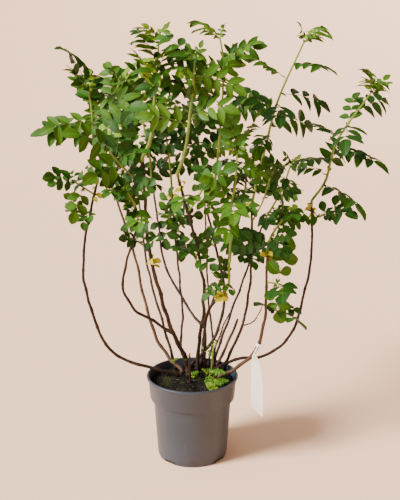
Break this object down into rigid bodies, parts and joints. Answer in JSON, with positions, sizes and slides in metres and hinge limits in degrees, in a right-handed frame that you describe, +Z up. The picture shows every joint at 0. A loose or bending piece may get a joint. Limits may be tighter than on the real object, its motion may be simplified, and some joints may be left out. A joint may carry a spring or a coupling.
{
  "type": "potted rose bush",
  "caption": "Young leafy rose bush in a stepped grey nursery pot: bare lower canes, green shoots with pinnate leaves, soil and a blank plant tag.",
  "frame": {"origin": "centre of the pot's flat underside", "axes": "+Z up along the pot's axis, -Y towards the front of the bush, +X to its right as seen from the front"},
  "size_m": [0.6978, 0.5595, 0.8898],
  "materials": {
    "pot_plastic": "satin moulded, light scuffs",
    "compost": "damp crumbly compost with moss",
    "tag_plastic": "smooth, blank",
    "bark": "smooth reddish-brown bark",
    "foliage": "soft waxy leaf green"
  },
  "bodies": {
    "root": {"pot": "pot_plastic", "soil": "compost", "plant_tag": "tag_plastic", "cane_far_left_lower": "bark", "cane_far_left_upper": "bark", "cane_back_left": "bark", "cane_thick": "bark", "cane_front_left": "bark", "cane_back_inner": "bark", "cane_front_middle": "bark", "cane_crossing": "bark", "cane_front_right": "bark", "cane_kinked": "bark", "cane_thin_back": "bark", "cane_right": "bark", "cane_tagged": "bark", "cane_far_right_lower": "bark", "cane_far_right_upper": "bark", "cane_rear_left": "bark", "cane_rear_right": "bark", "cane_side_right": "bark", "cane_thin_twig": "bark", "cane_thin_front": "bark", "stub_back_right": "bark", "stub_front": "bark", "shoot_far_left": "foliage", "spur_far_left": "foliage", "spur_far_left_low": "foliage", "shoot_back_left": "foliage", "spur_back_left": "foliage", "shoot_front_left": "foliage", "shoot_tall_left": "foliage", "spur_thick": "foliage", "spur_thick_low": "foliage", "shoot_crossing": "foliage", "spur_crossing": "foliage", "shoot_back_inner": "foliage", "spur_back_inner": "foliage", "shoot_front_middle": "foliage", "spur_front_middle": "foliage", "spur_front_middle_low": "foliage", "shoot_front_right": "foliage", "spur_front_right": "foliage", "shoot_kinked": "foliage", "spur_kinked": "foliage", "shoot_thin_back": "foliage", "shoot_right": "foliage", "spur_right_upper": "foliage", "spur_right": "foliage", "shoot_tagged": "foliage", "spur_tagged": "foliage", "spur_tagged_low": "foliage", "shoot_far_right": "foliage", "spur_far_right": "foliage", "shoot_rear_left": "foliage", "shoot_rear_right": "foliage", "shoot_side_right": "foliage", "sprout_front": "foliage", "sprout_thin": "foliage"}
  },
  "joints": []
}
